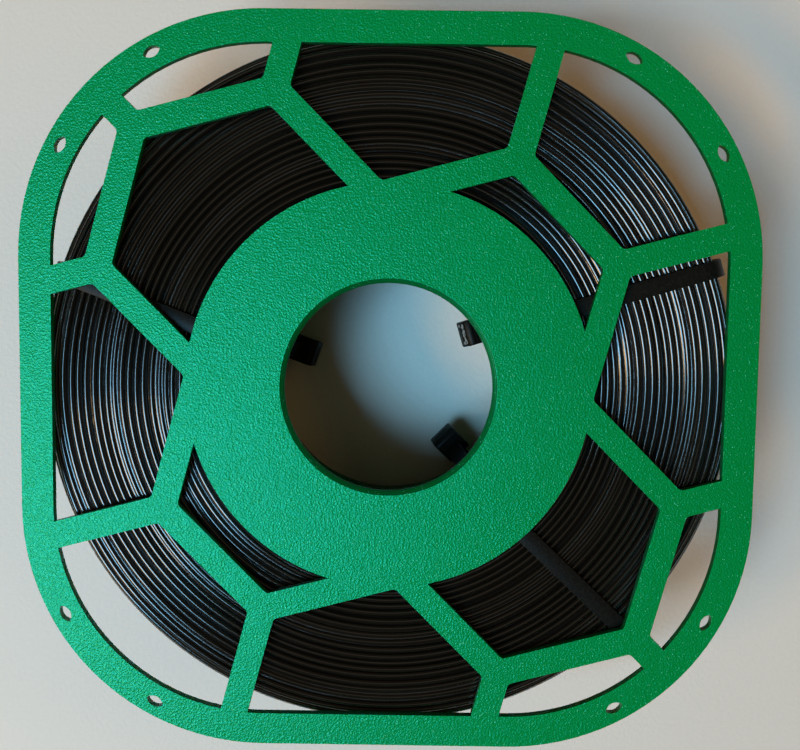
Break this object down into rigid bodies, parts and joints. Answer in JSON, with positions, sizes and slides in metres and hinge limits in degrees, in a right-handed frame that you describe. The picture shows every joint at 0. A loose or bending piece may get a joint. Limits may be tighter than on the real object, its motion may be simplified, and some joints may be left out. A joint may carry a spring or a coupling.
{
  "type": "filament spool",
  "caption": "Square-flanged filament spool with a hexagon web, a twist-lock front flange on a slotted hub, and a wound refill coil bound by cable ties.",
  "frame": {"origin": "middle of the back face, which the spool lies on", "axes": "+Z along the spool's axis towards the front flange, +X and +Y across the flats of the square front flange"},
  "size_m": [0.2, 0.2, 0.053],
  "materials": {
    "printed_green": "3D-printed glitter PLA, green, with the fine pebbled face of a textured print bed",
    "filament": "glossy black extruded filament",
    "tie_nylon": "matt black nylon"
  },
  "bodies": {
    "spool": {"hub_core": "printed_green", "back_flange": "printed_green", "filament_pack": "filament", "filament_turns": "filament", "cable_tie_right": "tie_nylon", "cable_tie_left": "tie_nylon", "cable_tie_lower": "tie_nylon"},
    "front": {"front_flange": "printed_green"}
  },
  "joints": [
    {"name": "front_twist", "type": "hinge", "parent": "spool", "child": "front", "pos_m": [0, 0, 0.05], "axis": [0, 0, 1], "range_deg": [0, 12.5]}
  ]
}
